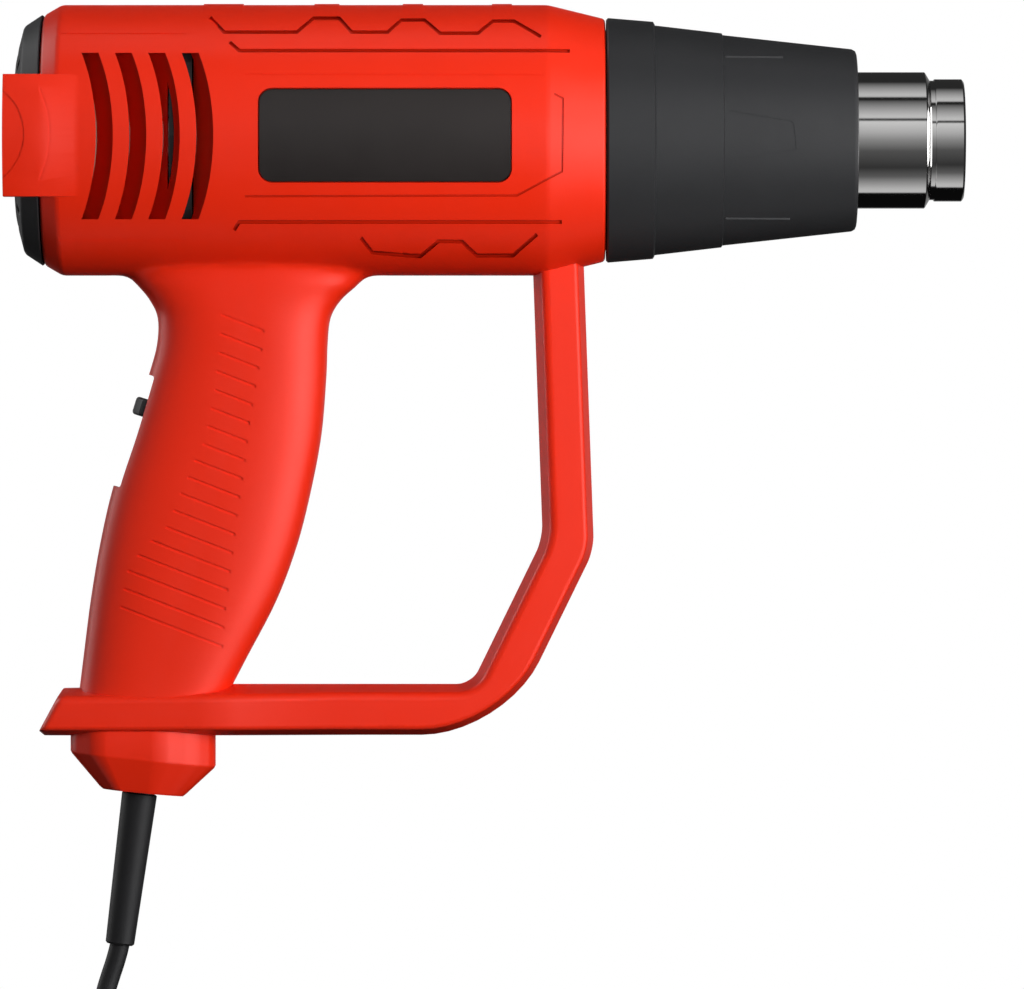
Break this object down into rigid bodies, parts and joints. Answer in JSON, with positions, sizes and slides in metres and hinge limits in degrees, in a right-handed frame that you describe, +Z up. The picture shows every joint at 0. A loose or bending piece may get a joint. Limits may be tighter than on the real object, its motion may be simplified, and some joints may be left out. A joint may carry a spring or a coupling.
{
  "type": "hot air tool",
  "caption": "Corded hot air tool with a pistol grip in a closed hand guard, a barrel with side vents and a rear dial, a tapered nose and a stepped steel outlet.",
  "frame": {"origin": "middle of the grip, where a hand holds the tool", "axes": "+X forwards along the barrel to the outlet, +Z up, and the tool's right hand side at -Y"},
  "size_m": [0.2573, 0.0772, 0.4267],
  "materials": {
    "red_plastic": "moulded, satin",
    "black_plastic": "moulded, fine texture",
    "label_plate": "smooth, satin",
    "outlet_steel": "polished stainless steel",
    "plated_steel": "zinc plated",
    "mica": "rolled mica sheet",
    "ceramic": "unglazed",
    "resistance_alloy": "oxidised wire",
    "circuit_board": "solder mask",
    "nylon": "moulded",
    "ferrite": "ground",
    "brass": "stamped",
    "cord_rubber": "extruded, dull",
    "wire_insulation": "extruded"
  },
  "bodies": {
    "tool": {"housing_right": "red_plastic", "housing_left": "red_plastic", "housing_screw_1": "plated_steel", "housing_screw_2": "plated_steel", "housing_screw_3": "plated_steel", "housing_screw_4": "plated_steel", "housing_screw_5": "plated_steel", "housing_screw_6": "plated_steel", "housing_screw_7": "plated_steel", "housing_screw_8": "plated_steel", "housing_screw_9": "plated_steel", "housing_screw_10": "plated_steel", "label_plate_right": "label_plate", "label_plate_left": "label_plate", "rear_cap": "black_plastic", "potentiometer_body": "plated_steel", "control_board": "circuit_board", "board_triac": "ferrite", "board_capacitor": "wire_insulation", "motor_can": "plated_steel", "motor_end_cap": "nylon", "motor_magnet_1": "ferrite", "motor_magnet_2": "ferrite", "motor_bracket": "black_plastic", "air_guide": "black_plastic", "front_nose": "black_plastic", "outlet_tube": "outlet_steel", "heater_base": "ceramic", "heater_screw_1": "plated_steel", "heater_screw_2": "plated_steel", "heater_screw_3": "plated_steel", "mica_sleeve": "mica", "heater_core": "mica", "heater_coil": "resistance_alloy", "thermal_fuse": "brass", "switch_plate": "black_plastic", "switch_body": "ferrite", "cord_boot": "cord_rubber", "cord_clamp": "nylon", "clamp_screw_1": "plated_steel", "clamp_screw_2": "plated_steel", "power_cord_lead": "cord_rubber", "power_cord_hank": "cord_rubber", "cord_tie": "cord_rubber", "power_cord_tail": "cord_rubber", "plug_body": "cord_rubber", "plug_blade_1": "brass", "plug_blade_2": "brass", "live_wire": "wire_insulation", "neutral_wire": "wire_insulation", "heater_wire": "wire_insulation", "board_wire": "wire_insulation", "motor_wire": "wire_insulation"},
    "slider": {"switch_slider": "black_plastic"},
    "dial": {"temperature_dial": "black_plastic", "potentiometer_shaft": "nylon"},
    "rotor": {"motor_armature": "resistance_alloy", "motor_shaft": "outlet_steel", "fan_impeller": "black_plastic"}
  },
  "joints": [
    {"name": "switch_slide", "type": "slide", "parent": "tool", "child": "slider", "axis": [-0.2972, 0, -0.9548], "range_m": [0, 0.016]},
    {"name": "dial_turn", "type": "hinge", "parent": "tool", "child": "dial", "pos_m": [-0.05, 0, 0.089], "axis": [1, 0, 0], "range_deg": [0, 270]},
    {"name": "rotor_spin", "type": "hinge", "parent": "tool", "child": "rotor", "pos_m": [0, 0, 0.089], "axis": [1, 0, 0], "continuous": true}
  ]
}
